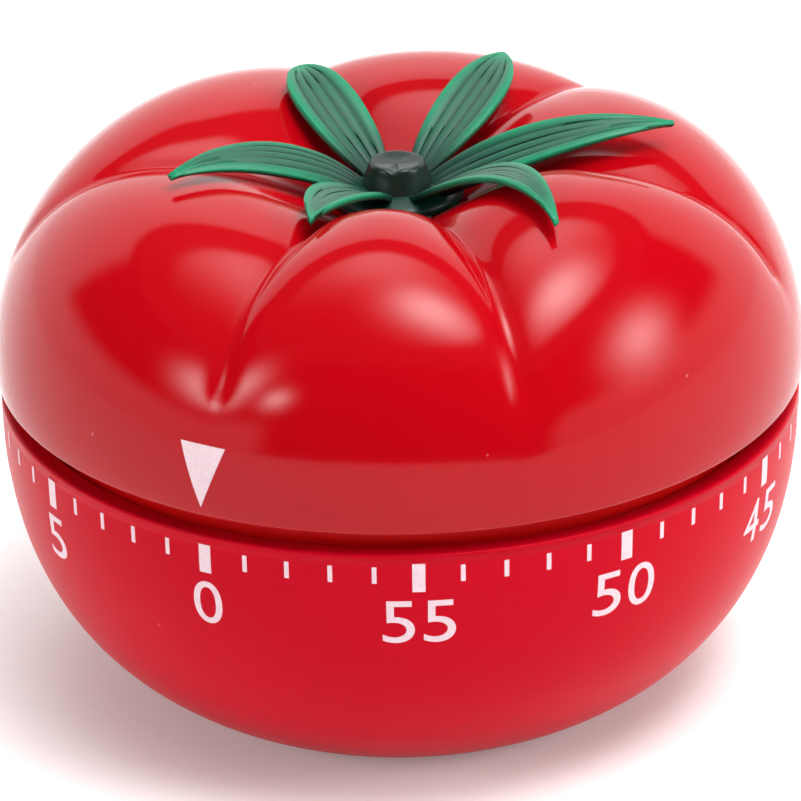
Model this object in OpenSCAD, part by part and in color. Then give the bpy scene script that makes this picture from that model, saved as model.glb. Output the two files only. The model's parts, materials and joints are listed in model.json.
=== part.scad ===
// Mechanical sixty-minute kitchen timer in the form of a tomato.
//
// The upper half is the dial. It sits on the main arbor of a spring-driven movement, and the
// user turns it clockwise, seen from above, to wind the spring and set the minutes. The
// movement hangs between two brass plates under a deck, which closes the lower half. When
// the dial comes back to zero a hammer strikes the bell above the base cap.
//
// All sizes are millimetres. The origin is on the table under the dial's axis, +Z is up and
// -Y is the front, where the dial's pointer and the zero of the scale stand at rest.

/* [Body] */
// Largest diameter, at the rim of the upper shell
body_d = 65; // [62:1:80]
// Height of the lower shell's rim above the table
lower_h = 24.8; // [24.5:0.1:30]
// Open gap between the two shells
seam_gap = 1.8; // [1:0.1:3]
// Height of the lobes' crests above the table
crown_h = 46; // [44:0.5:58]
// How far the lower shell's rim stands inside the upper shell's
rim_step = 0.3; // [0:0.1:1]
// Radius of the flat foot
foot_r = 19.2; // [18.6:0.2:24]
// Thickness of the moulded walls
wall = 1.6; // [1.2:0.1:2]

/* [Crown] */
// Radius of the ring on which the lobes crest
crest_r = 17.5; // [15:0.5:20]
// Depth of the hollow around the stem below the crests
hollow_depth = 7.2; // [5:0.2:8]
// Depth of the grooves between the lobes
groove_depth = 3.6; // [2:0.2:6]
// Height of the upper shell's straight rim
rim_h = 1.4; // [0.5:0.1:3]

/* [Stem and calyx] */
// Radius of the calyx's central disc
calyx_r = 4.6; // [4:0.1:6]
// Gap between the shell's hollow and the calyx's disc, at the axis
calyx_gap = 1.4; // [1.2:0.1:3]
// Thickness of the calyx's central disc
calyx_t = 0.8; // [0.6:0.1:1.5]
// Thickness of the sepals
sepal_t = 0.9; // [0.6:0.1:1.4]
// Radius of the stem at its base
stem_base_r = 2.9; // [2.4:0.1:4]
// Radius of the stem at its top
stem_top_r = 2.2; // [2:0.1:3.5]
// Height of the stem above the calyx
stem_h = 2.4; // [2:0.1:6]

/* [Base] */
// Depth of the recess that holds the base cap
cap_recess = 0.6; // [0.4:0.1:1]
// Thickness of the base cap
cap_t = 1.4; // [1.2:0.1:2]
// Width of the foot ring around the base cap
foot_w = 1.3; // [1:0.1:2]
// Width of the ledge that the base cap is screwed to
ledge_w = 2.8; // [2.4:0.1:3.2]
// Thickness of that ledge
ledge_t = 1.4; // [1.2:0.1:1.8]

/* [Movement] */
// Radius of the two brass plates
plate_r = 22; // [21.8:0.1:23]
// Thickness of the plates
plate_t = 1; // [0.8:0.1:1.2]
// Distance between the plates
plate_gap = 11.8; // [11.6:0.1:12.2]
// Radius of the main arbor
arbor_r = 2.5; // [2:0.1:3.2]
// Radius of the wheels' arbors
staff_r = 0.6; // [0.5:0.05:0.7]
// Radius of the pivots that run in the plates
pivot_r = 0.4; // [0.3:0.05:0.45]
// Radius of the plate pillars
pillar_r = 1.6; // [1.4:0.1:2]
// Module of the great wheel and its pinion
great_m = 0.45; // [0.42:0.01:0.46]
// Number of coils in the mainspring
spring_turns = 6; // [4:1:6]

/* [Bell] */
// Radius of the bell
bell_r = 18; // [16:0.1:18.4]
// Height of the bell
bell_h = 5; // [4:0.1:5.4]
// Thickness of the bell's metal
bell_t = 0.7; // [0.5:0.1:1]

/* [Fits] */
// Radial clearance of every running fit
play = 0.05; // [0.02:0.01:0.1]
// Gap between moulded pieces that stand side by side
gap = 0.4; // [0.3:0.1:0.6]
// Radius of the small screws' shanks
screw_r = 0.9; // [0.7:0.1:1]

/* [Hidden] */
$fn = 64;
TURN = 360;
eps = 0.01;

// ---- heights, worked out from the seam down and from the seam up ----
body_r = body_d / 2;
bowl_r = body_r - rim_step;
upper_z = lower_h + seam_gap;
collar_r = bowl_r - wall - gap;
deck_rise = 2;
collar_drop = 1.9;
deck_top = upper_z + deck_rise;
deck_low = deck_top - wall;
seat_z = lower_h - collar_drop;
boss_h = 1.6;
front_top = deck_low - boss_h;
front_low = front_top - plate_t;
back_top = front_low - plate_gap;
back_low = back_top - plate_t;
bell_top = back_low - 2.5;
bell_low = bell_top - bell_h;
cap_top = cap_recess + cap_t;
ledge_top = cap_top + ledge_t;
cap_r = foot_r - foot_w;
cap_hole_r = cap_r - ledge_w;
center_z = crown_h - hollow_depth;
shell_seat_z = center_z - wall;
hub_low = deck_top + 0.8;
arbor_top = shell_seat_z - 2;

// ---- where the screws, pillars and columns stand ----
column_r = 2.8;
column_ring = collar_r - wall - column_r + 0.5;
COLUMNS = [-5, 115, 235];
cap_screw_ring = cap_r - ledge_w / 2;
CAP_SCREWS = [30, 150, 270];
pillar_ring = plate_r - pillar_r - 0.4;
PILLARS = [15, 180, 270, 320];
screw_head = [1.7, 1.1];
column_depth = 7;
rib_w = 1.2;

// ---- the wheel train ----
pressure_angle = 28;
backlash = 0.07;
great_teeth = 54;
second_leaves = 9;
second_teeth = 48;
second_m = 0.33;
third_leaves = 8;
third_teeth = 48;
third_m = 0.3;
escape_leaves = 8;
escape_r = 5.5;
escape_teeth = 18;
balance_r = 6;
pallet_arm = 3.2;
pallet_spread = 55;
star_r = 3;

function side(a, b, c) = acos((a * a + b * b - c * c) / (2 * a * b));
function polar(r, a) = [r * cos(a), r * sin(a)];

second_at = [(great_teeth + second_leaves) * great_m / 2, 150];
third_cd = (second_teeth + third_leaves) * second_m / 2;
third_at = [14, second_at[1] - side(second_at[0], 14, third_cd)];
escape_cd = (third_teeth + escape_leaves) * third_m / 2;
escape_at = [17, third_at[1] - side(third_at[0], 17, escape_cd)];
balance_cd = 7.8;
balance_at = [17, escape_at[1] - side(17, 17, balance_cd)];
hammer_at = [18, 205];
release_at = [14, 252];
spring_post_at = [12.2, 320];

second_p = polar(second_at[0], second_at[1]);
third_p = polar(third_at[0], third_at[1]);
escape_p = polar(escape_at[0], escape_at[1]);
balance_p = polar(balance_at[0], balance_at[1]);
hammer_p = polar(hammer_at[0], hammer_at[1]);
release_p = polar(release_at[0], release_at[1]);
spring_post_p = polar(spring_post_at[0], spring_post_at[1]);
STAFFS = [second_p, third_p, escape_p, balance_p, release_p];

// Levels of the pieces between the plates, above the back plate
balance_z = back_top + 0.6;
spring_z = back_top + 0.8;
pallet_z = back_top + 1.7;
escape_z = back_top + 2.4;
ratchet_z = back_top + 4.9;
great_z = back_top + 5.6;
washer_z = great_z + 1;
cam_z = back_top + 6.9;
second_z = back_top + 8;
third_z = back_top + 9.7;
collar_z = front_low - 0.9;
spring_h = 3.6;
spring_strip = 0.25;
spring_in = arbor_r + 0.6;
spring_out = 10.2;
hammer_z = back_low - 1.2;

// ---- helpers ----

// Angle of an involute at pressure angle a, in degrees
function involute(a) = tan(a) * 180 / PI - a;

// Half the angle that a tooth takes up at radius r
function tooth_half(n, m, r) =
    let (rp = n * m / 2, rb = rp * cos(pressure_angle))
    (PI * m / 2 - backlash) / (2 * rp) * 180 / PI + involute(pressure_angle)
        - involute(acos(min(1, rb / max(r, rb))));

// Outline of an involute gear with n teeth of module m, one tooth centred on +X
function gear_outline(n, m) =
    let (
        rp = n * m / 2,
        root = rp - 1.05 * m,
        tip = rp + 0.8 * m,
        foot = max(root, rp * cos(pressure_angle)),
        radii = [root, foot + (tip - foot) * 0.15, (foot + tip) / 2, tip],
        rise = [for (r = radii) [r, -tooth_half(n, m, r)]],
        fall = [for (i = [3:-1:0]) [radii[i], tooth_half(n, m, radii[i])]]
    )
    [for (k = [0:n - 1]) for (q = concat(rise, fall)) polar(q[0], q[1] + TURN * k / n)];

// A gear standing at p, its first tooth pointing along angle a
module gear(p, z, n, m, h, a, bore) {
    translate([p[0], p[1], z])
        rotate(a)
            difference() {
                linear_extrude(height = h) polygon(gear_outline(n, m));
                if (bore > 0)
                    translate([0, 0, -1]) cylinder(r = bore, h = h + 2);
            }
}

// Round openings that leave the spokes of a wheel
module lightening(p, z, ring, r, count, h) {
    for (k = [0:count - 1])
        translate([p[0], p[1], z - 1])
            rotate(TURN * (k + 0.5) / count)
                translate([ring, 0, 0])
                    cylinder(r = r, h = h + 2);
}

// A vertical bar from point a to point b
module arm(a, b, z, w, h) {
    d = b - a;
    translate([a[0], a[1], z])
        rotate(atan2(d[1], d[0]))
            translate([0, -w / 2, 0])
                cube([norm(d), w, h]);
}

// An arbor at p with a pivot in each plate
module staff(p, r, low, top) {
    translate([p[0], p[1], 0])
        rotate_extrude()
            polygon([
                [0, low - plate_t + 0.1], [pivot_r, low - plate_t + 0.1], [pivot_r, low + 0.15],
                [r, low + 0.15], [r, top - 0.15], [pivot_r, top - 0.15],
                [pivot_r, top + plate_t - 0.1], [0, top + plate_t - 0.1]
            ]);
}

// A pan-headed screw at p, its head standing on height z and its shank reaching down by len
module screw(p, z, len, head = screw_head) {
    translate([p[0], p[1], z]) {
        difference() {
            cylinder(r = head[0], h = head[1]);
            translate([-head[0], -0.2, head[1] - 0.5]) cube([2 * head[0], 0.4, 1]);
        }
        translate([0, 0, -len]) cylinder(r = screw_r, h = len + eps);
    }
}

// The same screw put in from below, its head hanging under height z
module screw_up(p, z, len, head = screw_head) {
    translate([p[0], p[1], 2 * z])
        translate([0, 0, -z])
            mirror([0, 0, 1])
                screw([0, 0], 0, len, head);
}

// Children at a radius from the dial's axis, their own +X turned towards the axis
module at_ring(ring, angles) {
    for (a = angles)
        rotate(a) translate([ring, 0, 0]) rotate(180) children();
}

// ---- lower half ----

// Outer radius of the bowl, as a fraction of its rim radius, at depth t from 0 to 1
bowl_p = 2.4;
bowl_q = 2.67;
function bowl_t(r) = pow(1 - pow(r / bowl_r, bowl_q), 1 / bowl_p);
function bowl_at(z, r0) =
    r0 * pow(1 - pow((lower_h - z) / lower_h * bowl_t(foot_r), bowl_p), 1 / bowl_q);
BOWL_STEPS = 22;
BOWL_Z = [for (i = [0:BOWL_STEPS]) lower_h * (1 - cos(90 * i / BOWL_STEPS))];

module bowl_solid() {
    rotate_extrude()
        polygon(concat(
            [for (z = BOWL_Z) [bowl_at(z, bowl_r), z]],
            [[0, lower_h], [0, 0]]
        ));
}

// The bowl's hollow, clear of the floor ledge
module bowl_hollow() {
    z0 = ledge_top;
    rotate_extrude()
        polygon(concat(
            [for (i = [0:BOWL_STEPS])
                let (z = z0 + (lower_h - z0) * (1 - cos(90 * i / BOWL_STEPS)))
                [bowl_at(z, bowl_r) - wall, z]],
            [[bowl_r - wall, lower_h + 1], [0, lower_h + 1], [0, z0]]
        ));
}

module lower_shell() {
    color("firebrick")
        difference() {
            union() {
                difference() {
                    bowl_solid();
                    bowl_hollow();
                }
                intersection() {
                    bowl_solid();
                    at_ring(column_ring, COLUMNS)
                        translate([0, 0, ledge_top + 1])
                            cylinder(r = column_r, h = seat_z - ledge_top - 1);
                }
                intersection() {
                    bowl_solid();
                    for (a = COLUMNS)
                        rotate(a)
                            translate([column_ring, -rib_w / 2, ledge_top + 1])
                                cube([body_r, rib_w, seat_z - ledge_top - 2]);
                }
            }
            at_ring(column_ring, COLUMNS)
                translate([0, 0, seat_z - column_depth])
                    cylinder(r = screw_r + play, h = column_depth + 1);
            translate([0, 0, -1]) cylinder(r = cap_hole_r, h = ledge_top + 2);
            translate([0, 0, -1]) cylinder(r = cap_r, h = cap_top + 1);
            at_ring(cap_screw_ring, CAP_SCREWS)
                translate([0, 0, cap_top - 1]) cylinder(r = screw_r + play, h = ledge_t + 2);
        }
}

// The cap, with the boss that carries the bell and slots that let the sound out
module base_cap() {
    color("firebrick")
        difference() {
            union() {
                translate([0, 0, cap_recess]) cylinder(r = cap_r - play * 2, h = cap_t);
                cylinder_at(3, cap_top - eps, bell_top - bell_t);
            }
            for (a = [0:60:300])
                rotate(a)
                    translate([6, -1, -1])
                        cube([6, 2, cap_top + 2]);
            translate([0, 0, cap_top]) cylinder(r = screw_r + play, h = bell_top);
            at_ring(cap_screw_ring, CAP_SCREWS)
                translate([0, 0, -1]) cylinder(r = screw_r + play, h = cap_top + 2);
            at_ring(cap_screw_ring, CAP_SCREWS)
                translate([0, 0, -1]) cylinder(r = 1.25, h = cap_recess + 1 + cap_head_h);
        }
}

cap_head_h = 0.7;

module cylinder_at(r, z0, z1) {
    translate([0, 0, z0]) cylinder(r = r, h = z1 - z0);
}

module base_cap_screws() {
    color("silver")
        at_ring(cap_screw_ring, CAP_SCREWS)
            screw_up([0, 0], cap_recess + cap_head_h, cap_t + ledge_t - cap_head_h - 0.2,
                [1.2, cap_head_h]);
}

// Quarter curve from the bell's rim up to the edge of its flat crown
bell_flat_r = 4;
BELL_STEPS = 12;
function bell_curve(r, h) = [for (i = [0:BELL_STEPS])
    let (a = 90 * i / BELL_STEPS)
    [bell_flat_r + (r - bell_flat_r) * cos(a), bell_low + h * sin(a)]];
function reverse(list) = [for (i = [len(list) - 1:-1:0]) list[i]];

module bell() {
    color("lightsteelblue")
        difference() {
            rotate_extrude()
                polygon(concat(
                    bell_curve(bell_r, bell_h),
                    [[0, bell_top], [0, bell_top - bell_t]],
                    reverse(bell_curve(bell_r - bell_t, bell_h - bell_t))
                ));
            cylinder_at(screw_r + play, bell_low, bell_top + 1);
        }
}

module bell_screw() {
    color("silver") screw([0, 0], bell_top, bell_top - cap_top - 1, [2.4, 1.2]);
}

// ---- deck ----

// Inverted cup: its collar shows as the dark neck between the two shells
module deck() {
    color("darkred")
        difference() {
            union() {
                difference() {
                    cylinder_at(collar_r, seat_z, deck_top);
                    cylinder_at(collar_r - wall, seat_z - 1, deck_low);
                }
                at_ring(column_ring, COLUMNS) cylinder_at(column_r, seat_z, deck_low + eps);
                at_ring(pillar_ring, PILLARS) cylinder_at(pillar_r + 0.6, front_top, deck_low + eps);
            }
            cylinder_at(arbor_r + 2.5, deck_low - 1, deck_top + 1);
            at_ring(column_ring, COLUMNS) cylinder_at(screw_r + play, seat_z - 1, deck_top + 1);
            at_ring(pillar_ring, PILLARS) cylinder_at(screw_r + play, front_top - 1, deck_top + 1);
            stop_at() cylinder_at(stop_r, deck_top - 1, deck_top + 1);
        }
}

module deck_screws() {
    color("silver")
        at_ring(column_ring, COLUMNS)
            screw([0, 0], deck_top, deck_top - seat_z + column_depth - 0.5);
}

module deck_bush() {
    color("ivory")
        difference() {
            union() {
                cylinder_at(arbor_r + 2.5 - play, deck_low, deck_top);
                cylinder_at(arbor_r + 3.4, deck_low - 0.5, deck_low);
            }
            cylinder_at(arbor_r + play, deck_low - 1, deck_top + 1);
        }
}

// ---- stops of the dial's turn ----
stop_ring = 24;
stop_r = 0.6;
stop_arm_w = 1;
stop_arm_z = deck_top + 1.6;
stop_angle = 60;
stop_rest_gap = 3;

module stop_at() {
    rotate(stop_angle) translate([stop_ring, 0, 0]) children();
}

module stop_pin() {
    color("silver") stop_at() cylinder_at(stop_r, deck_top - 1, stop_arm_z + 1.4);
}

module stop_arm() {
    color("silver")
        difference() {
            union() {
                cylinder_at(hub_r + 1.5, stop_arm_z, stop_arm_z + 1);
                rotate(stop_angle - stop_rest_gap)
                    translate([0, -stop_arm_w / 2, stop_arm_z])
                        cube([stop_ring + 0.8, stop_arm_w, 1]);
            }
            cylinder_at(hub_r + play / 2, stop_arm_z - 1, stop_arm_z + 2);
        }
}

// ---- plates ----

module plate_blank(z) {
    cylinder_at(plate_r, z, z + plate_t);
}

module pivot_holes(z) {
    for (p = STAFFS)
        translate([p[0], p[1], 0])
            cylinder_at(pivot_r + play, z - 1, z + plate_t + 1);
    at_ring(pillar_ring, PILLARS) cylinder_at(screw_r + play, z - 1, z + plate_t + 1);
}

module front_plate() {
    color("goldenrod")
        difference() {
            plate_blank(front_low);
            pivot_holes(front_low);
            cylinder_at(arbor_r + play, front_low - 1, front_top + 1);
            translate([hammer_p[0], hammer_p[1], 0])
                cylinder_at(pivot_r + play, front_low - 1, front_top + 1);
        }
}

module back_plate() {
    color("goldenrod")
        difference() {
            plate_blank(back_low);
            pivot_holes(back_low);
            cylinder_at(main_pivot_r + play, back_low - 1, back_top + 1);
            translate([hammer_p[0], hammer_p[1], 0])
                cylinder_at(hammer_r + play, back_low - 1, back_top + 1);
            translate([spring_post_p[0], spring_post_p[1], 0])
                cylinder_at(0.6, back_low - 1, back_top + 1);
        }
}

module plate_pillars() {
    color("silver")
        at_ring(pillar_ring, PILLARS)
            difference() {
                cylinder_at(pillar_r, back_top, front_low);
                cylinder_at(screw_r + play, front_low - 3, front_low + 1);
                cylinder_at(screw_r + play, back_top - 1, back_top + 3);
            }
}

module movement_screws() {
    color("silver")
        at_ring(pillar_ring, PILLARS)
            screw([0, 0], deck_top, deck_top - front_low + 2.6);
}

module back_plate_screws() {
    color("silver")
        at_ring(pillar_ring, PILLARS)
            screw_up([0, 0], back_low, plate_t + 2.6);
}

// ---- main arbor, mainspring and winding work ----
main_pivot_r = 1.5;
collar_extra = 0.9;
clip_z = front_top + 0.1;
clip_h = 0.6;
flat_depth = 0.7;
hub_r = arbor_r + 2;

module main_arbor() {
    color("silver")
        difference() {
            rotate_extrude()
                polygon([
                    [0, back_low + 0.1], [main_pivot_r, back_low + 0.1],
                    [main_pivot_r, back_top + 0.1], [arbor_r, back_top + 0.1],
                    [arbor_r, collar_z], [arbor_r + collar_extra, collar_z],
                    [arbor_r + collar_extra, collar_z + 0.8], [arbor_r, collar_z + 0.8],
                    [arbor_r, clip_z], [arbor_r - 0.5, clip_z],
                    [arbor_r - 0.5, clip_z + clip_h], [arbor_r, clip_z + clip_h],
                    [arbor_r, arbor_top - 0.3], [arbor_r - 0.3, arbor_top], [0, arbor_top]
                ]);
            translate([arbor_r - flat_depth, -arbor_r - 1, hub_low])
                cube([arbor_r, 2 * arbor_r + 2, arbor_top]);
        }
}

module arbor_clip() {
    color("silver")
        difference() {
            cylinder_at(arbor_r + 1.2, clip_z, clip_z + clip_h - 0.1);
            cylinder_at(arbor_r - 0.45, clip_z - 1, clip_z + 2);
            translate([0, -1.2, clip_z - 1]) cube([arbor_r + 3, 2.4, 3]);
        }
}

// Strip wound into a flat spiral, its outer eye round the spring post
spring_eye_r = 1.2;
module mainspring() {
    steps = 28;
    total = spring_turns * steps;
    sweep = spring_turns * TURN;
    a0 = spring_post_at[1] - 14 - sweep;
    pitch = (spring_out - spring_in) / total;
    path = [for (i = [0:total]) [spring_in + pitch * i, a0 + sweep * i / total]];
    outer = [for (q = path) polar(q[0] + spring_strip, q[1])];
    inner = [for (q = reverse(path)) polar(q[0], q[1])];
    eye_out = polar(spring_post_at[0] + spring_strip / 2, spring_post_at[1]);
    eye_in = polar(spring_post_at[0] - spring_strip / 2, spring_post_at[1]);
    color("slategray")
        difference() {
            union() {
                translate([0, 0, spring_z])
                    linear_extrude(height = spring_h)
                        polygon(concat(outer, [eye_out, eye_in], inner));
                translate([spring_post_p[0], spring_post_p[1], 0])
                    cylinder_at(spring_eye_r, spring_z, spring_z + spring_h);
            }
            translate([spring_post_p[0], spring_post_p[1], 0])
                cylinder_at(0.8 + play, spring_z - 1, spring_z + spring_h + 1);
        }
}

module spring_post() {
    color("silver")
        translate([spring_post_p[0], spring_post_p[1], 0])
            rotate_extrude()
                polygon([
                    [0, back_low], [0.6 - play, back_low], [0.6 - play, back_top],
                    [0.8, back_top], [0.8, spring_z + spring_h + 0.3],
                    [0, spring_z + spring_h + 0.3]
                ]);
}

// Saw-toothed wheel fixed to the arbor
ratchet_r = 5.4;
ratchet_teeth = 20;
module ratchet_wheel() {
    outline = [for (k = [0:ratchet_teeth - 1]) for (q = [[ratchet_r, 0], [ratchet_r - 0.9, 1]])
        polar(q[0], (k + q[1] * 0.08) * TURN / ratchet_teeth)];
    color("silver")
        difference() {
            translate([0, 0, ratchet_z]) linear_extrude(height = 0.6) polygon(outline);
            cylinder_at(arbor_r + play / 2, ratchet_z - 1, ratchet_z + 2);
        }
}

// Click pivoted under the great wheel; its nose lies just outside the ratchet's teeth
click_p = polar(8.6, 20);
click_nose = polar(ratchet_r + 0.45, 52);
module click() {
    color("silver") {
        difference() {
            union() {
                translate([click_p[0], click_p[1], 0])
                    cylinder_at(1.1, ratchet_z, ratchet_z + 0.6);
                arm(click_p, click_nose, ratchet_z, 0.8, 0.6);
            }
            translate([click_p[0], click_p[1], 0])
                cylinder_at(0.5, ratchet_z - 1, ratchet_z + 2);
        }
        translate([click_p[0], click_p[1], 0])
            cylinder_at(0.45, ratchet_z - 0.1, great_z + 1);
    }
}

module click_spring() {
    anchor = polar(10.4, 75);
    color("slategray")
        arm(anchor, polar(8.3, 42), ratchet_z, 0.3, 0.6);
}

module great_wheel() {
    ring_r = 7.9;
    color("gold")
        difference() {
            gear([0, 0], great_z, great_teeth, great_m, 1, second_at[1], arbor_r + play);
            lightening([0, 0], great_z, ring_r, 2.2, 5, 1);
            translate([click_p[0], click_p[1], 0]) cylinder_at(0.5, great_z - 1, great_z + 2);
        }
}

module tension_washer() {
    color("slategray")
        difference() {
            cylinder_at(arbor_r + 2.2, washer_z, cam_z);
            cylinder_at(arbor_r + play, washer_z - 1, cam_z + 1);
        }
}

// Cam with the notch that lets the release lever drop at zero
cam_r = 7;
module cam_disc() {
    color("silver")
        difference() {
            cylinder_at(cam_r, cam_z, cam_z + 0.6);
            cylinder_at(arbor_r + play / 2, cam_z - 1, cam_z + 2);
            rotate(283) translate([cam_r, 0, 0]) cylinder_at(1, cam_z - 1, cam_z + 2);
        }
}

// ---- second, third and escape arbors ----
second_link = second_at[1];
third_link = atan2(third_p[1] - second_p[1], third_p[0] - second_p[0]);
escape_link = atan2(escape_p[1] - third_p[1], escape_p[0] - third_p[0]);

module second_arbor() {
    color("silver") {
        staff(second_p, staff_r, back_top, front_low);
        gear(second_p, great_z - 0.3, second_leaves, great_m, 1.7,
            second_link + 180 + TURN / second_leaves / 2, 0);
    }
}

module second_wheel() {
    color("gold")
        difference() {
            gear(second_p, second_z, second_teeth, second_m, 0.7, third_link, staff_r + play / 2);
            lightening(second_p, second_z, 4.5, 1.6, 5, 0.7);
        }
}

module star_wheel() {
    outline = [for (k = [0:5]) for (q = [[star_r, 0], [1.5, 0.5]])
        polar(q[0], (k + q[1]) * 60)];
    color("gold")
        difference() {
            translate([second_p[0], second_p[1], escape_z])
                linear_extrude(height = 0.8) polygon(outline);
            translate([second_p[0], second_p[1], 0])
                cylinder_at(staff_r + play / 2, escape_z - 1, escape_z + 2);
        }
}

module third_arbor() {
    color("silver") {
        staff(third_p, staff_r, back_top, front_low);
        gear(third_p, second_z - 0.4, third_leaves, second_m, 1.5,
            third_link + 180 + TURN / third_leaves / 2, 0);
    }
}

module third_wheel() {
    color("gold")
        difference() {
            gear(third_p, third_z, third_teeth, third_m, 0.6, escape_link, staff_r + play / 2);
            lightening(third_p, third_z, 4, 1.4, 5, 0.6);
        }
}

module escape_arbor() {
    color("silver") {
        staff(escape_p, staff_r, back_top, front_low);
        gear(escape_p, third_z - 0.2, escape_leaves, third_m, 1,
            escape_link + 180 + TURN / escape_leaves / 2, 0);
    }
}

module escape_wheel() {
    outline = [for (k = [0:escape_teeth - 1])
        for (q = [[escape_r, 0], [escape_r - 0.1, 0.12], [escape_r - 1.4, 0.3], [escape_r - 1.4, 0.8]])
            polar(q[0], (k + q[1]) * TURN / escape_teeth)];
    color("gold")
        difference() {
            translate([escape_p[0], escape_p[1], escape_z])
                linear_extrude(height = 0.7) polygon(outline);
            translate([escape_p[0], escape_p[1], 0])
                cylinder_at(staff_r + play / 2, escape_z - 1, escape_z + 2);
            lightening(escape_p, escape_z, 2.4, 1, 4, 0.7);
        }
}

// ---- balance ----
module balance_staff() {
    color("silver") staff(balance_p, staff_r, back_top, front_low);
}

module balance_wheel() {
    color("gold")
        translate([balance_p[0], balance_p[1], 0])
            difference() {
                union() {
                    difference() {
                        cylinder_at(balance_r, balance_z, balance_z + 0.8);
                        cylinder_at(balance_r - 1, balance_z - 1, balance_z + 2);
                    }
                    translate([-balance_r + 0.5, -0.5, balance_z])
                        cube([2 * balance_r - 1, 1, 0.8]);
                    cylinder_at(1.3, balance_z, balance_z + 0.8);
                }
                cylinder_at(staff_r + play / 2, balance_z - 1, balance_z + 2);
            }
}

// Lever with the two pins that the escape wheel's teeth push in turn
module pallet_lever() {
    facing = atan2(escape_p[1] - balance_p[1], escape_p[0] - balance_p[0]);
    color("silver")
        translate([balance_p[0], balance_p[1], 0])
            difference() {
                union() {
                    cylinder_at(1.2, pallet_z, pallet_z + 0.4);
                    for (s = [-1, 1])
                        rotate(facing + s * pallet_spread) {
                            translate([0, -0.4, pallet_z]) cube([pallet_arm, 0.8, 0.4]);
                            translate([pallet_arm, 0, 0])
                                cylinder_at(0.3, pallet_z, escape_z + 1);
                        }
                }
                cylinder_at(staff_r + play / 2, pallet_z - 1, pallet_z + 2);
            }
}

// ---- hammer ----
hammer_r = 0.8;
hammer_head_r = 1.5;
hammer_gap = 1.2;
hammer_head_p = polar(bell_r + hammer_gap + hammer_head_r, 250);

module hammer_staff() {
    color("silver")
        translate([hammer_p[0], hammer_p[1], 0])
            rotate_extrude()
                polygon([
                    [0, hammer_z - 0.1], [hammer_r, hammer_z - 0.1], [hammer_r, front_low - 0.15],
                    [pivot_r, front_low - 0.15], [pivot_r, front_top - 0.1], [0, front_top - 0.1]
                ]);
}

module hammer_arm() {
    color("silver")
        difference() {
            union() {
                translate([hammer_p[0], hammer_p[1], 0])
                    cylinder_at(1.7, hammer_z, hammer_z + 0.9);
                arm(hammer_p, hammer_head_p, hammer_z, 1.4, 0.9);
                translate([hammer_head_p[0], hammer_head_p[1], 0])
                    cylinder_at(hammer_head_r, bell_low + 0.4, hammer_z + 0.9);
            }
            translate([hammer_p[0], hammer_p[1], 0])
                cylinder_at(hammer_r + play / 2, hammer_z - 1, hammer_z + 2);
        }
}

// Tail that the star wheel's points lift
module hammer_tail() {
    d = hammer_p - second_p;
    nose = second_p + d / norm(d) * (star_r + 0.9);
    color("silver")
        difference() {
            union() {
                translate([hammer_p[0], hammer_p[1], 0])
                    cylinder_at(1.7, escape_z, escape_z + 0.8);
                arm(hammer_p, nose, escape_z, 1.2, 0.8);
            }
            translate([hammer_p[0], hammer_p[1], 0])
                cylinder_at(hammer_r + play / 2, escape_z - 1, escape_z + 2);
        }
}

// ---- release lever ----
module release_staff() {
    color("silver") staff(release_p, staff_r, back_top, front_low);
}

module release_lever() {
    nose = polar(cam_r + 0.9, 283);
    tail = polar(17.5, 222);
    color("silver")
        difference() {
            union() {
                translate([release_p[0], release_p[1], 0])
                    cylinder_at(1.6, cam_z, cam_z + 0.7);
                arm(release_p, nose, cam_z, 1, 0.7);
                translate([nose[0], nose[1], 0]) cylinder_at(0.6, cam_z, cam_z + 0.7);
                arm(release_p, tail, cam_z, 1, 0.7);
                translate([tail[0], tail[1], 0]) cylinder_at(0.6, escape_z, cam_z + 0.7);
            }
            translate([release_p[0], release_p[1], 0])
                cylinder_at(staff_r + play / 2, cam_z - 1, cam_z + 2);
        }
}

// Wire coil round a staff, with one leg that rests against a pillar
module coil_spring(p, r, z, turns, leg_to) {
    wire = 0.22;
    leg = leg_to - p;
    color("slategray") {
        for (k = [0:turns - 1])
            translate([p[0], p[1], z + wire + k * 1.9 * wire])
                rotate_extrude() translate([r, 0]) circle(r = wire, $fn = 16);
        translate([p[0], p[1], z + wire])
            rotate(atan2(leg[1], leg[0]))
                translate([0, r, 0])
                    rotate([0, 90, 0])
                        cylinder(r = wire * 0.8, h = norm(leg), $fn = 16);
    }
}

module hammer_spring() {
    target = polar(pillar_ring, PILLARS[1]);
    coil_spring(hammer_p, hammer_r + 0.5, back_top + 0.2, 3, hammer_p + (target - hammer_p) * 0.75);
}

module release_spring() {
    target = polar(pillar_ring, PILLARS[2]);
    coil_spring(release_p, staff_r + 0.6, cam_z + 0.9, 3, release_p + (target - release_p) * 0.7);
}

// ---- upper half ----

// Azimuths of the six grooves, anticlockwise from the front
GROOVES = [1.5, 45.5, 105, 167, 224, 297];
AZ_STEPS = 90;
DOME_STEPS = 11;
HOLLOW_STEPS = 7;
// Powers of the dome's outline, across and up, on a lobe and in a groove
LOBE_CURVE = [2.2, 1.9];
GROOVE_CURVE = [2.2, 2.1];
// How far each lobe's crest lies below the crown
LOBE_DROPS = [0.6, 0, 1.1, 1.4, 1, 1.8];
hollow_curve = 3;
crease_curve = 0.5;
crease_soft = 0.03;
stem_hole_r = 2;

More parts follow.
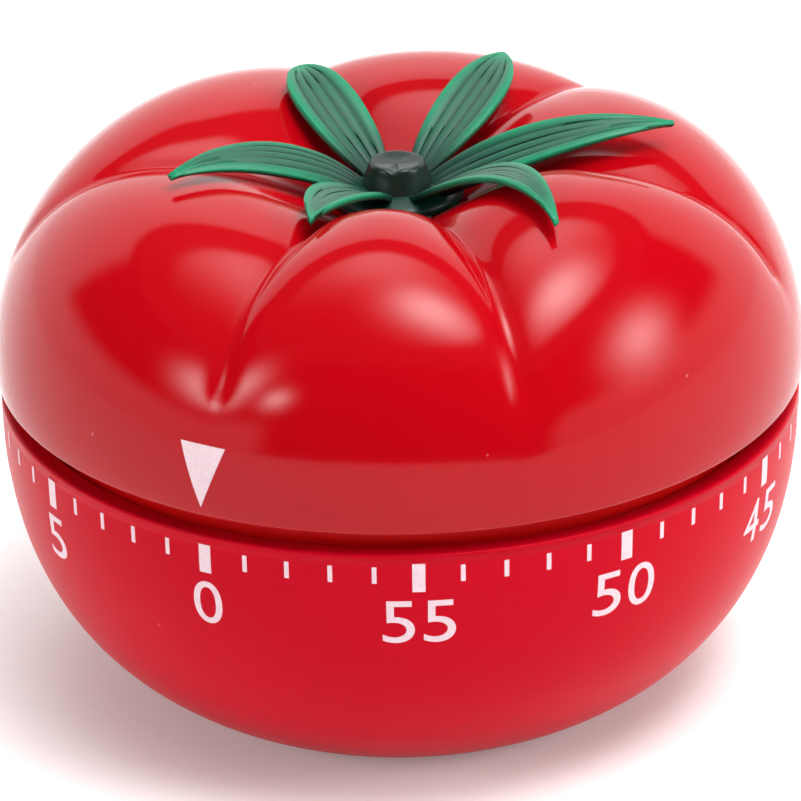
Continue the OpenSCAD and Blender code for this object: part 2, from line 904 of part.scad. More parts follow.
// How deep in a groove an azimuth lies: 1 on a groove's line, 0 on a lobe's ridge
function groove_span(a, i) =
    let (n = len(GROOVES), g0 = GROOVES[i], g1 = GROOVES[(i + 1) % n] + (i == n - 1 ? TURN : 0))
    (a - g0) / (g1 - g0);
function lobe_of(a) =
    let (b = a < GROOVES[0] ? a + TURN : a)
    max([for (k = [0:len(GROOVES) - 1]) if (b >= GROOVES[k]) k]);
function in_groove(a) =
    let (
        b = a < GROOVES[0] ? a + TURN : a,
        rise = norm([sin(180 * groove_span(b, lobe_of(a))), crease_soft])
    )
    1 - pow(rise / norm([1, crease_soft]), crease_curve);

// Point of a profile that rises from the rim at r0 to the crest at z1, then falls to zc. Its
// third number is its share of the crest's height.
function dome_point(i, r0, z0, z1, curve) =
    let (a = 90 * i / DOME_STEPS, rise = pow(sin(a), 2 / curve[1]))
    [crest_r + (r0 - crest_r) * pow(cos(a), 2 / curve[0]), z0 + (z1 - z0) * rise, rise];
function hollow_point(i, z1, zc, r_end) =
    let (
        r = r_end + (crest_r - r_end) * (1 - i / HOLLOW_STEPS),
        rise = 1 - pow(1 - pow(r / crest_r, 2), hollow_curve)
    )
    [r, zc + (z1 - zc) * rise, rise];
function profile(r0, z0, z1, zc, r_end, curve) = concat(
    [[r0, upper_z, 0]],
    [for (i = [0:DOME_STEPS]) dome_point(i, r0, z0, z1, curve)],
    [for (i = [1:HOLLOW_STEPS]) hollow_point(i, z1, zc, r_end)]
);

dome_z = upper_z + rim_h;
valley_z = crown_h - groove_depth;
inner_r = body_r - wall;
CREST_OUT = profile(body_r, dome_z, crown_h, center_z, stem_hole_r, LOBE_CURVE);
VALLEY_OUT = profile(body_r, dome_z, valley_z, center_z, stem_hole_r, GROOVE_CURVE);
CREST_IN = profile(inner_r, dome_z, crown_h - wall, shell_seat_z, stem_hole_r, LOBE_CURVE);
VALLEY_IN = profile(inner_r, dome_z, valley_z - wall, shell_seat_z, stem_hole_r, GROOVE_CURVE);

// Point of the shell at azimuth a, from the same point on the tallest lobe and in a groove
function ring_point(crest, valley, a) =
    let (
        w = in_groove(a),
        drop = LOBE_DROPS[lobe_of(a)] * crest[2],
        r = crest[0] * (1 - w) + valley[0] * w,
        z = (crest[1] - drop) * (1 - w) + valley[1] * w
    )
    [r * sin(a), -r * cos(a), z];

// Closed shell of revolution whose section changes with the azimuth
module upper_shell() {
    n = len(CREST_OUT);
    outer = [for (j = [0:n - 1]) for (k = [0:AZ_STEPS - 1])
        ring_point(CREST_OUT[j], VALLEY_OUT[j], TURN * k / AZ_STEPS)];
    inner = [for (j = [n - 1:-1:0]) for (k = [0:AZ_STEPS - 1])
        ring_point(CREST_IN[j], VALLEY_IN[j], TURN * k / AZ_STEPS)];
    rings = 2 * n;
    faces = [for (j = [0:rings - 1]) for (k = [0:AZ_STEPS - 1])
        let (
            k1 = (k + 1) % AZ_STEPS,
            j1 = (j + 1) % rings,
            a = j * AZ_STEPS + k,
            b = j * AZ_STEPS + k1,
            c = j1 * AZ_STEPS + k1,
            d = j1 * AZ_STEPS + k
        )
        for (f = [[a, c, b], [a, d, c]]) f];
    color("red") polyhedron(points = concat(outer, inner), faces = faces);
}

// Boss welded under the shell, with the D-shaped bore that takes the arbor
module drive_hub() {
    color("firebrick")
        difference() {
            union() {
                cylinder_at(hub_r, hub_low, shell_seat_z - 1.2 + eps);
                cylinder_at(hub_r + 1.5, shell_seat_z - 1.2, shell_seat_z);
            }
            difference() {
                cylinder_at(arbor_r + play / 2, hub_low - 1, arbor_top + 0.2);
                translate([arbor_r - flat_depth + play / 2, -arbor_r - 1, hub_low - 2])
                    cube([arbor_r, 2 * arbor_r + 2, arbor_top]);
            }
            cylinder_at(peg_r + play / 2, shell_seat_z - peg_grip, shell_seat_z + 1);
        }
}

// ---- calyx and stem ----
peg_r = stem_hole_r - 0.1;
peg_grip = 1.4;
calyx_z = center_z + calyx_gap;

// Sepals: azimuth from the front, reach, height of the arch, height of the tip, half width
SEPALS = [
    [-121, 17.2, 44.3, 45.3, 2.7],
    [-46, 18.9, 44.7, 44.9, 1.9],
    [0, 16.4, 43.5, 44.2, 2.2],
    [66, 22.4, 46.3, 46.5, 2.2],
    [115, 21.8, 45.6, 46.1, 2.1],
    [175, 18.6, 44.8, 45.9, 2.6]
];
SEPAL_STEPS = 9;

// Half width along a sepal: it swells from the root and comes to a blunt point
function sepal_width(t, w) = w * (0.55 + 0.45 * sin(180 * min(1, t * 1.25))) * pow(1 - t * t * t, 0.6);

// Centre line of a sepal: up from the disc, over the arch and down to the tip
function sepal_line(t, s) =
    let (
        r0 = stem_base_r + 0.5,
        z0 = calyx_z + calyx_t * 0.4,
        lift = crown_h - 46,
        r = r0 + (s[1] - r0) * t,
        base = z0 + (s[3] + lift - z0) * t,
        top = s[2] + lift - (z0 + s[3] + lift) / 2
    )
    [r, base + 4 * top * pow(t * (1 - t), 1)];

module sepal(s) {
    pts = [for (i = [0:SEPAL_STEPS])
        let (
            t = i / SEPAL_STEPS,
            q = sepal_line(t, s),
            w = max(0.25, sepal_width(t, s[4]))
        )
        for (c = [[-w, 0], [w, 0], [w, sepal_t], [-w, sepal_t]])
            [c[0], -q[0], q[1] + c[1]]];
    sides = [for (i = [0:SEPAL_STEPS - 1]) for (k = [0:3])
        let (a = 4 * i + k, b = 4 * i + (k + 1) % 4)
        for (f = [[a, a + 4, b + 4], [a, b + 4, b]]) f];
    last = 4 * SEPAL_STEPS;
    ends = [[0, 1, 2], [0, 2, 3], [last, last + 2, last + 1], [last, last + 3, last + 2]];
    rotate(s[0]) polyhedron(points = pts, faces = concat(sides, ends));
}

module calyx() {
    color("green")
        difference() {
            union() {
                cylinder_at(calyx_r, calyx_z, calyx_z + calyx_t);
                for (s = SEPALS)
                    sepal(s);
            }
            cylinder_at(peg_r + play / 2, calyx_z - 1, calyx_z + calyx_t + 3);
        }
}

// Stem with a shallow hollow in its cut end and a peg that pins the calyx to the hub
module stem() {
    z0 = calyx_z + calyx_t;
    top = z0 + stem_h;
    color("darkolivegreen")
        rotate_extrude()
            polygon([
                [0, shell_seat_z - peg_grip + 0.1], [peg_r, shell_seat_z - peg_grip + 0.1],
                [peg_r, z0], [stem_base_r, z0], [stem_top_r + 0.1, z0 + stem_h * 0.45],
                [stem_top_r - 0.1, top - 0.5], [stem_top_r - 0.4, top],
                [stem_top_r - 0.9, top], [stem_top_r * 0.35, top - 0.7], [0, top - 0.8]
            ]);
}

lower_shell();
base_cap();
base_cap_screws();
deck();
deck_screws();
deck_bush();
front_plate();
back_plate();
plate_pillars();
movement_screws();
back_plate_screws();
bell();
bell_screw();
stop_pin();
spring_post();
mainspring();
hammer_spring();
release_spring();
upper_shell();
drive_hub();
stop_arm();
calyx();
stem();
main_arbor();
arbor_clip();
ratchet_wheel();
click();
click_spring();
great_wheel();
tension_washer();
cam_disc();
second_arbor();
second_wheel();
star_wheel();
third_arbor();
third_wheel();
escape_arbor();
escape_wheel();
balance_staff();
balance_wheel();
pallet_lever();
hammer_staff();
hammer_arm();
hammer_tail();
release_staff();
release_lever();
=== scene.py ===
# %% [markdown]
# # A tomato-shaped kitchen timer
# The real object is a wind-up timer moulded in glossy red plastic. Its upper half is a dial with six
# lobes, its lower half is a bowl with a printed scale, and a green calyx and a dark stem sit on top.
# The clockwork, the deck and the screws come in as a finished frame. This lesson builds the pieces
# that are looked at: the two shells, the print, the calyx, the stem and every finish.
import json
import math

import bmesh
import bpy
from mathutils import Matrix, Vector


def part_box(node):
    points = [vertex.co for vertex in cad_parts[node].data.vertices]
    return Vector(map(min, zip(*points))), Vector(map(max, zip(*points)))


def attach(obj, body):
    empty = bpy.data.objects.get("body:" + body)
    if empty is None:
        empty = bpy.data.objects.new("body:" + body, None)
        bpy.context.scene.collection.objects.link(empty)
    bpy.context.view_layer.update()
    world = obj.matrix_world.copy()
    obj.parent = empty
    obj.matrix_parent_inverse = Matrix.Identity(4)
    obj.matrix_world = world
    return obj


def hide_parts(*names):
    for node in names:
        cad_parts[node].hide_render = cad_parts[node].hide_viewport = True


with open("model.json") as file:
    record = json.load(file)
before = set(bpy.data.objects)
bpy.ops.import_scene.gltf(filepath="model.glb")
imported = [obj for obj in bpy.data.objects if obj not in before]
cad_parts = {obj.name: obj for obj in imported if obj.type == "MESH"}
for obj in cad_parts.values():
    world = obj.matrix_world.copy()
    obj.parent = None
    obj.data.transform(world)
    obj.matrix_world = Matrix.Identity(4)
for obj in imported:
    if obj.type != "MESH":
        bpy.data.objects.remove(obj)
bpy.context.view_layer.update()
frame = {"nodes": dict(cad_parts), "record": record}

MM = 0.001

# %% [markdown]
# ## Sizes come from the frame
# A maker measures the part on the bench before dressing it. The boxes of the two shells give the
# radii and the heights, so nothing here has to be changed when the frame grows or shrinks.

# %% Measure the shells
upper_low, upper_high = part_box("upper_shell")
lower_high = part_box("lower_shell")[1]
disc_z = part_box("calyx")[0].z
stem_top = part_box("stem")[1].z
hub_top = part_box("drive_hub")[1].z

body_r = upper_high.y
rim_z = upper_low.z
crest_z = upper_high.z
bowl_r = lower_high.y
bowl_rim_z = lower_high.z
foot_r = max(v.co.xy.length for v in frame["nodes"]["lower_shell"].data.vertices if v.co.z < 0.01 * MM)
print("dial radius %.2f mm, crest at %.2f mm, foot radius %.2f mm" % (
    body_r / MM, crest_z / MM, foot_r / MM))


def polar(radius, azimuth, z):
    """Point at a radius and an azimuth, in degrees anticlockwise from the front (-Y)."""
    a = math.radians(azimuth)
    return Vector((radius * math.sin(a), -radius * math.cos(a), z))


# %% [markdown]
# ## The camera
# The camera stands well back and has a long lens, so the timer hardly narrows towards the back. It
# looks down at 26 degrees from the right of the zero mark, and leans by a degree.

# %% Camera
CAMERA_AZIMUTH = 27.9
CAMERA_ELEVATION = 25.8
CAMERA_DISTANCE = 0.416
CAMERA_ROLL = -0.87
TARGET = Vector((0, 0, 22.2 * MM))

camera_data = bpy.data.cameras.new("camera")
camera_data.sensor_width = 36
camera_data.lens = 230.6
camera = bpy.data.objects.new("camera", camera_data)
bpy.context.scene.collection.objects.link(camera)
tilt = math.radians(CAMERA_ELEVATION)
back = polar(math.cos(tilt), CAMERA_AZIMUTH, math.sin(tilt))
facing = (-back).to_track_quat("-Z", "Y").to_matrix().to_4x4()
camera.matrix_world = (
    Matrix.Translation(TARGET + back * CAMERA_DISTANCE)
    @ facing
    @ Matrix.Rotation(math.radians(CAMERA_ROLL), 4, "Z")
)
bpy.context.scene.camera = camera
bpy.context.scene.view_settings.view_transform = "Standard"
print("camera at", [round(v, 3) for v in camera.matrix_world.translation])

# %% [markdown]
# ## Shader maths as Python
# A procedural finish is a little sum: noise times a strength plus a base value. The class below wraps
# a node's output, so that such a sum is written as an expression and each operator adds its Math
# node. Shading.node adds any other node from its type, its settings and its inputs.


# %% Signal, Shading and Finish
class Signal:
    """An output of a shader node that can be used in Python arithmetic."""

    def __init__(self, shading, socket):
        self.shading = shading
        self.socket = socket

    def __add__(self, other):
        return self.shading.math("ADD", self, other)

    def __sub__(self, other):
        return self.shading.math("SUBTRACT", self, other)

    def __rsub__(self, other):
        return self.shading.math("SUBTRACT", other, self)

    def __mul__(self, other):
        return self.shading.math("MULTIPLY", self, other)

    def __pow__(self, other):
        return self.shading.math("POWER", self, other)

    def above(self, limit):
        return self.shading.math("GREATER_THAN", self, limit)

    __radd__ = __add__
    __rmul__ = __mul__


class Shading:
    """A node tree that is written as expressions."""

    def __init__(self, tree):
        self.tree = tree

    def node(self, kind, settings=None, inputs=None, output=0):
        node = self.tree.nodes.new(kind)
        for key, value in (settings or {}).items():
            setattr(node, key, value)
        for key, value in (inputs or {}).items():
            if isinstance(value, Signal):
                self.tree.links.new(value.socket, node.inputs[key])
            else:
                node.inputs[key].default_value = value
        return Signal(self, node.outputs[output])

    def math(self, operation, *values):
        return self.node("ShaderNodeMath", {"operation": operation}, dict(enumerate(values)))

    def dot(self, a, b):
        settings = {"operation": "DOT_PRODUCT"}
        return self.node("ShaderNodeVectorMath", settings, {0: a, 1: b}, output="Value")

    def ease(self, value, start, end):
        """0 before start, 1 after end, and smooth between them."""
        settings = {"interpolation_type": "SMOOTHSTEP"}
        return self.node("ShaderNodeMapRange", settings, {0: value, 1: start, 2: end})

    def mix(self, factor, a, b):
        """Colour a where factor is 0, colour b where it is 1."""
        return self.node("ShaderNodeMix", {"data_type": "RGBA"}, {0: factor, 6: a, 7: b}, output=2)


class Finish(Shading):
    """A material made round one Principled shader."""

    def __init__(self, name, **constants):
        self.material = bpy.data.materials.new(name)
        self.material.use_nodes = True
        super().__init__(self.material.node_tree)
        self.shader = self.tree.nodes["Principled BSDF"]
        for socket, value in constants.items():
            self.set(socket.replace("_", " "), value)

    def set(self, socket, value):
        """Sets a socket of the shader to a constant or links a signal to it."""
        target = self.shader.inputs[socket]
        if isinstance(value, Signal):
            self.tree.links.new(value.socket, target)
        else:
            target.default_value = value

    def place(self):
        """The point on the piece, in metres."""
        return self.node("ShaderNodeTexCoord", output="Object")

    def noise(self, size_mm, detail=2.0, stretch=None):
        """Noise whose blotches are about size_mm wide, from 0 to 1."""
        point = self.place()
        if stretch:
            point = self.node("ShaderNodeMapping", inputs={"Vector": point, "Scale": stretch})
        settings = {"Vector": point, "Scale": 1 / (size_mm * MM), "Detail": detail}
        return self.node("ShaderNodeTexNoise", inputs=settings)

    def specks(self, spacing_mm, share):
        """1 in small round spots, 0 elsewhere."""
        inputs = {"Vector": self.place(), "Scale": 1 / (spacing_mm * MM)}
        distance = self.node("ShaderNodeTexVoronoi", inputs=inputs, output="Distance")
        return 1 - distance.above(share)

    def attribute(self, name):
        return self.node("ShaderNodeAttribute", {"attribute_name": name}, output="Fac")

    def bump(self, height, depth_mm):
        inputs = {"Height": height, "Distance": depth_mm * MM, "Strength": 1.0}
        self.set("Normal", self.node("ShaderNodeBump", inputs=inputs))


# %% [markdown]
# ## Floor and light
# Glossy plastic is drawn by what it mirrors, so the studio round it matters more than the lamps.
# A white backdrop stands behind the timer and gives the pale haze along the lobes' far edges, up to
# the dark line where it ends. Low white walls stand on both sides, and the room in front stays dark.
# A softbox overhead and soft lamps at the sides leave a glow on each near lobe. The one real lamp
# only lifts the shadows and isn't mirrored.

# %% Floor and a lamp that has no reflection
def make_floor():
    bm = bmesh.new()
    bmesh.ops.create_grid(bm, x_segments=2, y_segments=2, size=1.5)
    mesh = bpy.data.meshes.new("floor")
    bm.to_mesh(mesh)
    bm.free()
    floor = bpy.data.objects.new("floor", mesh)
    bpy.context.scene.collection.objects.link(floor)
    return floor


def soft_lamp(name, azimuth, elevation, size, power):
    """A square lamp that lights the timer but isn't mirrored by it."""
    data = bpy.data.lights.new(name, "AREA")
    data.size = size
    data.energy = power
    lamp = bpy.data.objects.new(name, data)
    bpy.context.scene.collection.objects.link(lamp)
    e = math.radians(elevation)
    place = polar(0.6 * math.cos(e), azimuth, 0.6 * math.sin(e)) + TARGET
    facing = (TARGET - place).to_track_quat("-Z", "Y").to_matrix().to_4x4()
    lamp.matrix_world = Matrix.Translation(place) @ facing
    lamp.visible_glossy = False
    return lamp


floor = make_floor()
soft_lamp("overhead_lamp", CAMERA_AZIMUTH + 20, 72, 0.6, 0.8)

# %% The studio round the timer
BACKDROP_TOP = math.sin(math.radians(39))
# azimuth from the camera's, elevation, strength, focus
OVERHEAD_LAMPS = ((62, 71, 18.0, 34), (180, 66, 4.0, 16))
SIDE_LAMPS = ((75, 24, 13.0, 60), (-60, 29, 11.0, 110), (-41, 24, 14.0, 400))


def lamp_glow(sky, direction, lamps):
    """Sum of round soft lamps, each brightest at its middle."""
    glow = 0.0
    for azimuth, elevation, strength, focus in lamps:
        e = math.radians(elevation)
        towards = polar(math.cos(e), CAMERA_AZIMUTH + azimuth, math.sin(e))
        glow = glow + sky.math("MAXIMUM", sky.dot(direction, towards), 0.0) ** focus * strength
    return glow


def make_studio():
    world = bpy.data.worlds.new("studio")
    world.use_nodes = True
    sky = Shading(world.node_tree)
    direction = sky.node("ShaderNodeTexCoord", output="Generated")
    height = sky.node("ShaderNodeSeparateXYZ", inputs={0: direction}, output="Z")
    behind = sky.ease(sky.dot(direction, polar(1, CAMERA_AZIMUTH + 180, 0)), 0.42, 0.56)
    backdrop = behind * sky.ease(height, BACKDROP_TOP + 0.012, BACKDROP_TOP - 0.012)
    sideways = sky.math("ABSOLUTE", sky.dot(direction, polar(1, CAMERA_AZIMUTH + 90, 0)))
    walls = sky.ease(sideways, 0.58, 0.70) * sky.ease(height, 0.30, 0.16) * (1 - behind)
    ceiling = sky.ease(height, BACKDROP_TOP + 0.03, BACKDROP_TOP + 0.06)
    overhead = lamp_glow(sky, direction, OVERHEAD_LAMPS) * sky.ease(height, 0.78, 0.84)
    glow = backdrop * 1.25 + walls * 1.25 + ceiling * 0.10 + overhead + 0.05
    background = world.node_tree.nodes["Background"]
    total = glow + lamp_glow(sky, direction, SIDE_LAMPS)
    world.node_tree.links.new(total.socket, background.inputs["Strength"])
    background.inputs["Color"].default_value = (1, 1, 1, 1)
    bpy.context.scene.world = world


make_studio()

# %% [markdown]
# ## The finishes
# The upper shell is polished in its mould, so it mirrors sharply. The bowl comes from a duller
# mould. Under a long look neither is perfect: the plastic flows in faint clouds, carries a few
# specks, and has been wiped, which leaves the roughness a little uneven.


# %% Red plastics
def moulded_red(name, colour, deep, roughness, wave_mm, mirror):
    """Red plastic with faint flow clouds, dust specks and an uneven polish."""
    finish = Finish(name, IOR=1.5, Specular_IOR_Level=mirror)
    clouds = finish.noise(14, 3.0)
    dust = finish.specks(5.5, 0.03)
    body = finish.mix(clouds, colour, deep)
    finish.set("Base Color", finish.mix(dust * 0.3, body, (0.70, 0.20, 0.20, 1)))
    wiped = finish.noise(7, 4.0)
    finish.set("Roughness", roughness + wiped * 0.06 + dust * 0.2)
    finish.bump(finish.noise(wave_mm, 1.0), 0.008)
    return finish.material


gloss_red = moulded_red("gloss_red", (0.39, 0.0008, 0.005, 1), (0.36, 0.0006, 0.004, 1), 0.07, 4.0, 0.22)
bowl_red = moulded_red("bowl_red", (0.49, 0.0006, 0.012, 1), (0.45, 0.0005, 0.010, 1), 0.30, 2.6, 0.05)
# The neck's red is painted much lighter than the shells' red. This is painted bounce light for the light
# that fills the narrow gap round the neck.
neck_red_painted_bounce_light = moulded_red("neck_red_painted_bounce_light", (0.75, 0.001, 0.002, 1), (0.68, 0.001, 0.001, 1), 0.4, 1.5, 0.2)


# %% [markdown]
# ## Ink, leaf, stem and metals
# Pad-printed ink is matt and never quite opaque, so red shows through it in places. The calyx is
# green soft plastic brushed with a darker wash that stays off the rims and the ribs. The metals are
# brass sheet, turned steel, blued springs and a chromed bell.


# %% Other finishes
def printed_ink():
    finish = Finish("printed_ink", Specular_IOR_Level=0.3)
    thin = finish.noise(0.35, 3.0)
    finish.set("Base Color", finish.mix(thin * thin, (0.72, 0.58, 0.63, 1), (0.68, 0.38, 0.42, 1)))
    finish.set("Roughness", 0.45 + thin * 0.1)
    return finish.material


def sepal_green():
    finish = Finish("sepal_green", Specular_IOR_Level=0.3)
    rib = finish.attribute("rib")
    rim = finish.attribute("rim")
    root = finish.attribute("root")
    grain = finish.noise(0.9, 3.0)
    patches = finish.noise(5.0, 2.0)
    ridge = finish.mix(patches, (0.008, 0.135, 0.073, 1), (0.034, 0.108, 0.070, 1))
    wash = finish.mix(rib**1.3 * (0.65 + grain * 0.5), (0.004, 0.042, 0.028, 1), ridge)
    leaf = finish.mix(rim * (0.7 + grain * 0.5), wash, (0.003, 0.225, 0.105, 1))
    finish.set("Base Color", finish.mix(root, leaf, (0.003, 0.030, 0.020, 1)))
    finish.set("Roughness", 0.32 + grain * 0.16)
    finish.bump(grain, 0.03)
    return finish.material


def stem_black():
    finish = Finish("stem_black", Specular_IOR_Level=0.35)
    cloud = finish.noise(1.4, 3.0)
    finish.set("Base Color", finish.mix(cloud, (0.004, 0.011, 0.008, 1), (0.010, 0.024, 0.018, 1)))
    finish.set("Roughness", 0.24 + cloud * 0.14)
    finish.bump(finish.noise(1.0, 3.0), 0.03)
    return finish.material


def metal(name, colour, dull, roughness, grain_mm, stretch=None):
    """Metal with a brushed or cast grain; dull is the colour of its tarnished places."""
    finish = Finish(name, Metallic=1.0)
    tarnish = finish.noise(3.5, 4.0)
    grain = finish.noise(grain_mm, 3.0, stretch=stretch)
    finish.set("Base Color", finish.mix(tarnish * 0.6, colour, dull))
    finish.set("Roughness", roughness + grain * 0.12)
    finish.bump(grain, 0.006)
    return finish.material


def plain_plastic(name, colour, shade, roughness, **constants):
    finish = Finish(name, **constants)
    cloud = finish.noise(2.5, 3.0)
    finish.set("Base Color", finish.mix(cloud, colour, shade))
    finish.set("Roughness", roughness + cloud * 0.1)
    finish.bump(finish.noise(0.5, 2.0), 0.01)
    return finish.material


ink = printed_ink()
leaf_green = sepal_green()
stem_dark = stem_black()
brass = metal("brass", (0.80, 0.58, 0.24, 1), (0.62, 0.42, 0.17, 1), 0.24, 0.5, (1, 9, 1))
steel = metal("steel", (0.62, 0.62, 0.63, 1), (0.48, 0.48, 0.50, 1), 0.26, 0.4)
blued = metal("blued_steel", (0.20, 0.22, 0.28, 1), (0.13, 0.14, 0.18, 1), 0.3, 0.6, (1, 1, 8))
chrome = metal("chrome", (0.82, 0.82, 0.84, 1), (0.72, 0.72, 0.74, 1), 0.06, 1.2)
nylon = plain_plastic("nylon", (0.78, 0.75, 0.66, 1), (0.70, 0.66, 0.56, 1), 0.4)
floor_paper = plain_plastic(
    "floor_paper", (0.80, 0.80, 0.80, 1), (0.77, 0.77, 0.77, 1), 0.7,
    Emission_Color=(1, 1, 1, 1), Emission_Strength=0.15,
)
floor.data.materials.append(floor_paper)
print("finishes:", len(bpy.data.materials))

# %% [markdown]
# ## The lobed upper shell
# A lathe makes a round dome, and a carver then cuts the grooves. Here the outline of the wall, with
# its hollow and its rim, is spun through a full turn. Each point of the outline knows two places:
# one on a lobe's ridge and one at a groove's bottom. After the spin, every point slides between the
# two by how deep in a groove its azimuth lies. One rule then shapes both the outside and the inside.

# %% Outline of the shell
GROOVES = (1.5, 45.5, 105, 167, 224, 297)
CREST_R = 17.5 * MM
LOBE_DROPS = (0.6, 0.0, 1.1, 1.4, 1.0, 1.8)
GROOVE_DEPTH = 3.6 * MM
DOME_START = rim_z + 1.4 * MM
LOBE_CURVE = (2.2, 1.9)
GROOVE_CURVE = (2.2, 2.1)
HOLLOW_POWER = 3.0
PINCH = 2.0 * MM
FOLD_FOOT = (35 * MM, 36.6 * MM)
FOLD_TOP = (37.5 * MM, 42.5 * MM)
FOLD_SHARPNESS = 9
STEM_HOLE_R = 2 * MM
WALL = 1.6 * MM
hollow_z = hub_top + WALL
AROUND = 288


def dome(turn, outer_r, top_z, powers):
    """Radius, height and share of the crest's height, from the rim at turn 0 to the crest at 1."""
    a = turn * math.pi / 2
    rise = math.sin(a) ** (2 / powers[1])
    radius = CREST_R + (outer_r - CREST_R) * math.cos(a) ** (2 / powers[0])
    return radius, DOME_START + (top_z - DOME_START) * rise, rise


def hollow(turn, top_z, low_z):
    """The same three numbers, from the crest at turn 0 to the stem hole at 1."""
    r = STEM_HOLE_R + (CREST_R - STEM_HOLE_R) * (1 - turn)
    rise = 1 - (1 - (r / CREST_R) ** 2) ** HOLLOW_POWER
    return r, low_z + (top_z - low_z) * rise, rise


def ramp(value, start, end):
    """0 before start, 1 after end, and smooth between them."""
    u = max(0, min(1, (value - start) / (end - start)))
    return u * u * (3 - 2 * u)


def wall_line(outer_r, top_z, low_z, powers, dome_steps, hollow_steps):
    """Outline of one side of the wall, from above the rim to the stem hole."""
    line = [dome(i / dome_steps, outer_r, top_z, powers) for i in range(dome_steps + 1)]
    return line + [hollow(i / hollow_steps, top_z, low_z) for i in range(1, hollow_steps + 1)]


def rim_curl(outer_r, inner_r, z, fillet):
    """Rounded lower edge of a wall, from the outside to the inside."""
    out = []
    for centre, start in ((outer_r - fillet, 0), (inner_r + fillet, 90)):
        for i in range(4):
            a = math.radians(start + 30 * i)
            out.append((centre + fillet * math.cos(a), z + fillet - fillet * math.sin(a)))
    return out


def shell_outline():
    """Places of each point of the wall's section: on the tallest lobe and in a groove."""
    curl = [(r, z, 0.0) for r, z in rim_curl(body_r, body_r - WALL, rim_z, 0.3 * MM)][::-1]
    lines = []
    for top_z, powers in ((crest_z, LOBE_CURVE), (crest_z - GROOVE_DEPTH, GROOVE_CURVE)):
        outside = wall_line(body_r, top_z, hollow_z, powers, 44, 26)
        inside = wall_line(body_r - WALL, top_z - WALL, hub_top, powers, 30, 18)[::-1]
        lines.append(outside + inside + curl)
    return list(zip(*lines))


# %% How deep in a groove an azimuth lies
CREASE_POWER = 0.5
CREASE_SOFTNESS = 0.03


def lobe_index(azimuth):
    a = (azimuth - GROOVES[0]) % 360 + GROOVES[0]
    return a, max(i for i, g in enumerate(GROOVES) if a >= g)


def groove_share(azimuth):
    """1 at the bottom of a groove, 0 on the ridge of a lobe."""
    a, index = lobe_index(azimuth)
    ends = GROOVES + (GROOVES[0] + 360,)
    u = (a - ends[index]) / (ends[index + 1] - ends[index])
    rise = math.hypot(math.sin(math.pi * u), CREASE_SOFTNESS) / math.hypot(1, CREASE_SOFTNESS)
    return 1 - rise**CREASE_POWER


# %% Spin the outline and carve the lobes
def new_piece(name, bm, *materials, smooth=True):
    """Turns a bmesh into an object with its place in its mesh."""
    for face in bm.faces:
        face.smooth = smooth
    mesh = bpy.data.meshes.new(name)
    bm.to_mesh(mesh)
    bm.free()
    for material in materials:
        mesh.materials.append(material)
    piece = bpy.data.objects.new(name, mesh)
    bpy.context.scene.collection.objects.link(piece)
    print("%s: %d faces" % (name, len(mesh.polygons)))
    return piece


def join(whole, bm):
    """Adds one bmesh to another and frees it."""
    mesh = bpy.data.meshes.new("part")
    bm.to_mesh(mesh)
    bm.free()
    whole.from_mesh(mesh)
    bpy.data.meshes.remove(mesh)


def lathe(bm, points, around=AROUND, marks=None):
    """Spins a closed outline of (radius, height) points about the timer's axis."""
    verts = [bm.verts.new((0, -r, z)) for r, z in points]
    for vert, mark in zip(verts, marks or []):
        for layer, value in mark.items():
            vert[layer] = value
    edges = [bm.edges.new((a, b)) for a, b in zip(verts, verts[1:] + verts[:1])]
    bmesh.ops.spin(
        bm, geom=verts + edges, cent=(0, 0, 0), axis=(0, 0, 1), dvec=(0, 0, 0),
        angle=math.tau, steps=around, use_merge=True, use_duplicate=False,
    )
    bmesh.ops.recalc_face_normals(bm, faces=bm.faces)


def lobed(azimuth, ridge, valley):
    """Mixes a point on the tallest lobe with the same point in a groove."""
    share = groove_share(azimuth)
    drop = LOBE_DROPS[lobe_index(azimuth)[1]] * MM * ridge[2]
    radius = ridge[0] * (1 - share) + valley[0] * share
    height = (ridge[1] - drop) * (1 - share) + valley[1] * share
    fold = ramp(height, *FOLD_FOOT) * (1 - ramp(height, *FOLD_TOP))
    return radius - PINCH * fold * share**FOLD_SHARPNESS, height


def make_dial():
    bm = bmesh.new()
    rise, valley_r, valley_z = (bm.verts.layers.float.new(n) for n in ("rise", "valley_r", "valley_z"))
    pairs = shell_outline()
    marks = [{rise: ridge[2], valley_r: valley[0], valley_z: valley[1]} for ridge, valley in pairs]
    lathe(bm, [ridge[:2] for ridge, _ in pairs], marks=marks)
    for vert in bm.verts:
        azimuth = math.degrees(math.atan2(vert.co.x, -vert.co.y))
        ridge = (vert.co.xy.length, vert.co.z, vert[rise])
        radius, height = lobed(azimuth, ridge, (vert[valley_r], vert[valley_z]))
        vert.co = polar(radius, azimuth, height)
    bmesh.ops.recalc_face_normals(bm, faces=bm.faces)
    return new_piece("dial_shell", bm, gloss_red)


dial_shell = make_dial()

# %% [markdown]
# ## The bowl
# The lower shell is a plain turned form, so it is spun in one go: the outside curve from the foot to
# the rim, over a rounded lip, down the inside, and across the ledge that holds the base cap. Three
# columns with webs stand inside it and carry the deck.

# %% Bowl and its columns
BOWL_POWERS = (2.4, 2.67)
deck_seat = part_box("deck")[0].z
LEDGE_WIDTH = 2.8 * MM
LEDGE_THICK = 1.4 * MM
FOOT_WIDTH = 1.3 * MM
COLUMN_R = 2.8 * MM
COLUMN_RING = 26.3 * MM
COLUMN_ANGLES = (-5, 115, 235)
COLUMN_HOLE_R = 0.95 * MM
COLUMN_HOLE_DEPTH = 7 * MM
WEB_WIDTH = 1.2 * MM
WEB_LENGTH = 4 * MM
ON_AXIS = 0.0001 * MM
cap_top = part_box("base_cap")[0].z + 1.4 * MM


